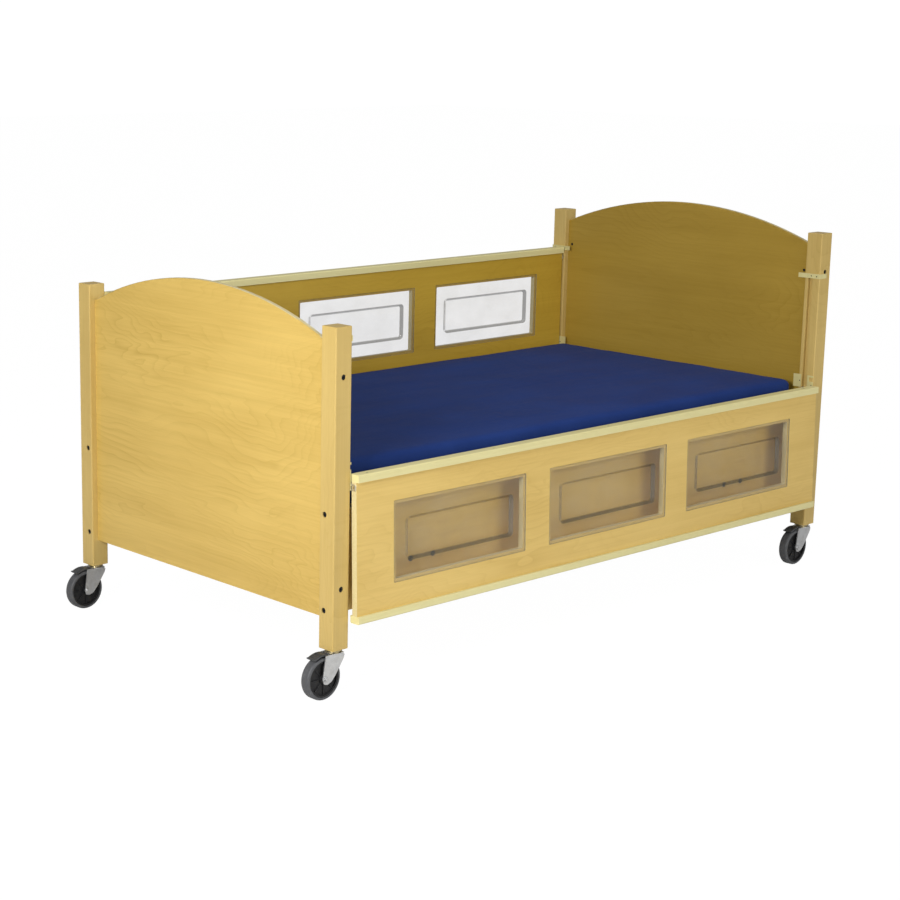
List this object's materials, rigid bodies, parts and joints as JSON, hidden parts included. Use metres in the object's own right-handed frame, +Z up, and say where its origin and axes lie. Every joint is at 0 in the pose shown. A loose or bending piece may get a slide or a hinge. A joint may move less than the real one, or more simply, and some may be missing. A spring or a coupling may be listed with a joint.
{
  "type": "adjustable hospital bed",
  "caption": "Home-care bed in maple plywood with arched end panels, drop side rails with clear formed windows, a profiling sleep deck, foam mattress and braked swivel casters.",
  "frame": {"origin": "on the floor, under the middle of the bounding box", "axes": "+X along the bed to the head end, +Y to the far side of the bed, +Z up"},
  "size_m": [2.255, 1.2012, 1.1689],
  "materials": {
    "mattress_cover": "coated woven navy cover",
    "maple_post": "clear lacquered solid maple",
    "maple_plywood": "clear lacquered maple plywood",
    "pale_maple": "pale lacquered strip",
    "clear_pane": "clear vacuum formed sheet",
    "birch_deck": "bare birch plywood",
    "painted_tube": "grey powder coat",
    "grey_plastic": "moulded grey plastic",
    "bright_steel": "bright drawn steel",
    "black_screw": "black oxide steel",
    "zinc_plate": "bright zinc plated steel",
    "grey_tread": "soft grey non-marking tread",
    "black_plastic": "moulded black plastic"
  },
  "bodies": {
    "bedstead": {"foot_posts": "maple_post", "head_posts": "maple_post", "foot_panel": "maple_plywood", "head_panel": "maple_plywood", "post_bolts": "black_screw", "barrel_nuts": "black_screw", "side_boards": "maple_plywood", "corner_brackets": "painted_tube", "cross_members": "painted_tube", "frame_beams": "painted_tube", "rail_keepers": "pale_maple", "frame_screws": "black_screw", "control_box": "grey_plastic", "seat_frame": "painted_tube", "seat_deck": "birch_deck", "mattress_seat": "mattress_cover", "back_actuator": "grey_plastic", "thigh_actuator": "grey_plastic", "caster_stems": "zinc_plate"},
    "back_section": {"back_frame": "painted_tube", "back_deck": "birch_deck", "mattress_back": "mattress_cover"},
    "thigh_section": {"thigh_frame": "painted_tube", "thigh_deck": "birch_deck", "mattress_thigh": "mattress_cover"},
    "calf_section": {"calf_frame": "painted_tube", "calf_deck": "birch_deck", "mattress_calf": "mattress_cover"},
    "back_rod": {"back_push_rod": "bright_steel"},
    "thigh_rod": {"thigh_push_rod": "bright_steel"},
    "near_guides": {"near_rail_guides": "bright_steel"},
    "near_pins": {"near_rail_pins": "bright_steel"},
    "near_rail": {"near_rail_panel": "maple_plywood", "near_rail_caps": "pale_maple", "near_rail_windows": "clear_pane", "near_rail_screws": "black_screw"},
    "far_guides": {"far_rail_guides": "bright_steel"},
    "far_pins": {"far_rail_pins": "bright_steel"},
    "far_rail": {"far_rail_panel": "maple_plywood", "far_rail_caps": "pale_maple", "far_rail_windows": "clear_pane", "far_rail_screws": "black_screw"},
    "caster_foot_near": {"caster_fork_foot_near": "zinc_plate"},
    "wheel_foot_near": {"caster_tyre_foot_near": "grey_tread", "caster_hub_foot_near": "black_plastic"},
    "pedal_foot_near": {"brake_pedal_foot_near": "black_plastic"},
    "caster_foot_far": {"caster_fork_foot_far": "zinc_plate"},
    "wheel_foot_far": {"caster_tyre_foot_far": "grey_tread", "caster_hub_foot_far": "black_plastic"},
    "pedal_foot_far": {"brake_pedal_foot_far": "black_plastic"},
    "caster_head_near": {"caster_fork_head_near": "zinc_plate"},
    "wheel_head_near": {"caster_tyre_head_near": "grey_tread", "caster_hub_head_near": "black_plastic"},
    "pedal_head_near": {"brake_pedal_head_near": "black_plastic"},
    "caster_head_far": {"caster_fork_head_far": "zinc_plate"},
    "wheel_head_far": {"caster_tyre_head_far": "grey_tread", "caster_hub_head_far": "black_plastic"},
    "pedal_head_far": {"brake_pedal_head_far": "black_plastic"}
  },
  "joints": [
    {"name": "near_rail_lift", "type": "slide", "parent": "bedstead", "child": "near_guides", "axis": [0, 0, 1], "range_m": [0, 0.362]},
    {"name": "near_rail_shift", "type": "slide", "parent": "near_guides", "child": "near_pins", "axis": [0, 1, 0], "range_m": [0, 0.0485]},
    {"name": "near_rail_tilt", "type": "hinge", "parent": "near_pins", "child": "near_rail", "pos_m": [0.0375, -0.57339, 0.574], "axis": [1, 0, 0], "range_deg": [-2.4, 1.6]},
    {"name": "far_rail_lift", "type": "slide", "parent": "bedstead", "child": "far_guides", "axis": [0, 0, 1], "range_m": [-0.362, 0]},
    {"name": "far_rail_shift", "type": "slide", "parent": "far_guides", "child": "far_pins", "axis": [0, 1, 0], "range_m": [0, 0.0485]},
    {"name": "far_rail_tilt", "type": "hinge", "parent": "far_pins", "child": "far_rail", "pos_m": [0.0375, 0.54411, 0.936], "axis": [1, 0, 0], "range_deg": [0, 4]},
    {"name": "back_tilt", "type": "hinge", "parent": "bedstead", "child": "back_section", "pos_m": [0.2175, 0.00961, 0.472], "axis": [0, -1, 0], "range_deg": [0, 55], "deforming": ["mattress_back"]},
    {"name": "back_push", "type": "slide", "parent": "bedstead", "child": "back_rod", "axis": [1, 0, 0], "range_m": [0, 0.0965]},
    {"name": "thigh_tilt", "type": "hinge", "parent": "bedstead", "child": "thigh_section", "pos_m": [0.0175, 0.00961, 0.472], "axis": [0, 1, 0], "range_deg": [0, 28], "deforming": ["mattress_thigh"]},
    {"name": "calf_tilt", "type": "hinge", "parent": "thigh_section", "child": "calf_section", "pos_m": [-0.3425, 0.00961, 0.472], "axis": [0, 1, 0], "range_deg": [-42.2, 0]},
    {"name": "thigh_push", "type": "slide", "parent": "bedstead", "child": "thigh_rod", "axis": [-1, 0, 0], "range_m": [0, 0.0495]},
    {"name": "swivel_foot_near", "type": "hinge", "parent": "bedstead", "child": "caster_foot_near", "pos_m": [-1.0245, -0.53639, 0.1244], "axis": [0, 0, 1], "continuous": true},
    {"name": "roll_foot_near", "type": "hinge", "parent": "caster_foot_near", "child": "wheel_foot_near", "pos_m": [-1.0685, -0.53639, 0.059], "axis": [0, 1, 0], "continuous": true},
    {"name": "brake_foot_near", "type": "hinge", "parent": "caster_foot_near", "child": "pedal_foot_near", "pos_m": [-1.0565, -0.53639, 0.1215], "axis": [0, 1, 0], "range_deg": [-6, 0]},
    {"name": "swivel_foot_far", "type": "hinge", "parent": "bedstead", "child": "caster_foot_far", "pos_m": [-1.0245, 0.55561, 0.1244], "axis": [0, 0, 1], "continuous": true},
    {"name": "roll_foot_far", "type": "hinge", "parent": "caster_foot_far", "child": "wheel_foot_far", "pos_m": [-1.0685, 0.55561, 0.059], "axis": [0, 1, 0], "continuous": true},
    {"name": "brake_foot_far", "type": "hinge", "parent": "caster_foot_far", "child": "pedal_foot_far", "pos_m": [-1.0565, 0.55561, 0.1215], "axis": [0, 1, 0], "range_deg": [-6, 0]},
    {"name": "swivel_head_near", "type": "hinge", "parent": "bedstead", "child": "caster_head_near", "pos_m": [1.0995, -0.53639, 0.1244], "axis": [0, 0, 1], "continuous": true},
    {"name": "roll_head_near", "type": "hinge", "parent": "caster_head_near", "child": "wheel_head_near", "pos_m": [1.0555, -0.53639, 0.059], "axis": [0, 1, 0], "continuous": true},
    {"name": "brake_head_near", "type": "hinge", "parent": "caster_head_near", "child": "pedal_head_near", "pos_m": [1.0675, -0.53639, 0.1215], "axis": [0, 1, 0], "range_deg": [-6, 0]},
    {"name": "swivel_head_far", "type": "hinge", "parent": "bedstead", "child": "caster_head_far", "pos_m": [1.0995, 0.55561, 0.1244], "axis": [0, 0, 1], "continuous": true},
    {"name": "roll_head_far", "type": "hinge", "parent": "caster_head_far", "child": "wheel_head_far", "pos_m": [1.0555, 0.55561, 0.059], "axis": [0, 1, 0], "continuous": true},
    {"name": "brake_head_far", "type": "hinge", "parent": "caster_head_far", "child": "pedal_head_far", "pos_m": [1.0675, 0.55561, 0.1215], "axis": [0, 1, 0], "range_deg": [-6, 0]}
  ],
  "couplings": [
    {"joint": "back_push", "follows": "back_tilt", "m_per_rad": 0.1},
    {"joint": "thigh_push", "follows": "thigh_tilt", "m_per_rad": 0.1},
    {"joint": "calf_tilt", "follows": "thigh_tilt", "ratio": -1.5}
  ]
}
